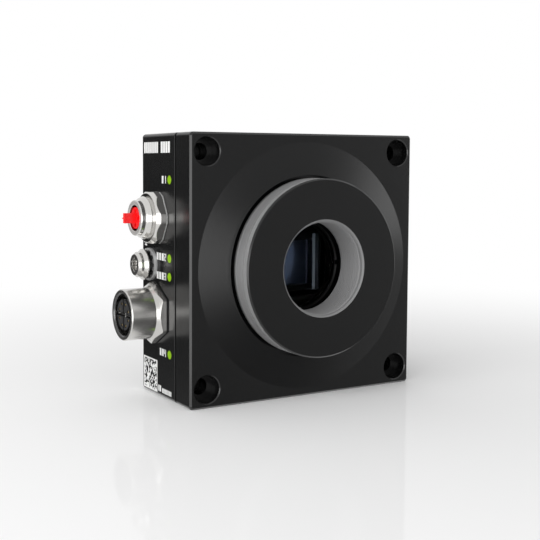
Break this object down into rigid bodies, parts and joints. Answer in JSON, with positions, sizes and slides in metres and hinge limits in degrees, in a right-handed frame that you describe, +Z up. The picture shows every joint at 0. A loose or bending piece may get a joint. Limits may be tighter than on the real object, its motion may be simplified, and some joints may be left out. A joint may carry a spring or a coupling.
{
  "type": "machine vision camera",
  "caption": "Square industrial camera: two-part housing, one-inch lens thread on a turned adapter, side panel with two round connectors, earth screw and status lights.",
  "frame": {"origin": "centre of the lens flange, the front face of the lens adapter on the lens axis", "axes": "+Z up, -Y out through the lens towards the scene, +X away from the connector panel"},
  "size_m": [0.0821, 0.0379, 0.072],
  "materials": {
    "housing": "fine satin, black anodised",
    "rubber": "matte",
    "pale_seal": "pale silicone",
    "adapter": "turned, black front face",
    "lock_ring": "turned",
    "black_ring": "black anodised",
    "cover_glass": "coated, clear",
    "sensor_lid": "coated, clear",
    "ceramic": "dark ceramic",
    "silicon": "polished silicon",
    "board": "solder mask",
    "spacer": "nickel-plated",
    "small_screw": "plated",
    "black_plastic": "moulded",
    "chip": "moulded",
    "coil": "pressed iron powder",
    "heat_pad": "soft",
    "light_chip": "clear",
    "light_pipe": "lime green",
    "nickel": "nickel-plated",
    "gold": "gold-plated",
    "shield": "nickel-plated",
    "red_plug": "soft, red",
    "washer": "plated",
    "earth_screw": "plated",
    "closing_screw": "black",
    "print": "screen print, white"
  },
  "bodies": {
    "root": {"adapter_lock_ring": "lock_ring", "adapter_seal_ring": "rubber", "board_screws": "small_screw", "board_spacers": "spacer", "closing_screws": "closing_screw", "connector_board": "board", "connector_board_screws": "small_screw", "cover_glass": "cover_glass", "data_connector_contacts": "gold", "data_connector_insert": "black_plastic", "data_connector_seal": "rubber", "data_connector_shell": "nickel", "data_connector_shield": "shield", "dust_plug": "red_plug", "earth_screw": "earth_screw", "earth_toothed_washer": "washer", "earth_washer": "washer", "front_housing": "housing", "glass_retaining_ring": "black_ring", "housing_gasket": "rubber", "lens_adapter": "adapter", "light_pipe_1": "light_pipe", "light_pipe_2": "light_pipe", "light_pipe_3": "light_pipe", "light_pipe_4": "light_pipe", "link_plug": "black_plastic", "link_socket": "black_plastic", "memory_chip_1": "chip", "memory_chip_2": "chip", "power_coil": "coil", "power_connector_insert": "black_plastic", "power_connector_pins": "gold", "power_connector_seal": "pale_seal", "power_connector_shell": "nickel", "processor_board": "board", "processor_chip": "chip", "rear_housing": "housing", "sensor_board": "board", "sensor_chip": "silicon", "sensor_lid": "sensor_lid", "sensor_package": "ceramic", "side_plug": "black_plastic", "status_light_1": "light_chip", "status_light_2": "light_chip", "status_light_3": "light_chip", "status_light_4": "light_chip", "thermal_pad": "heat_pad"}
  },
  "joints": []
}
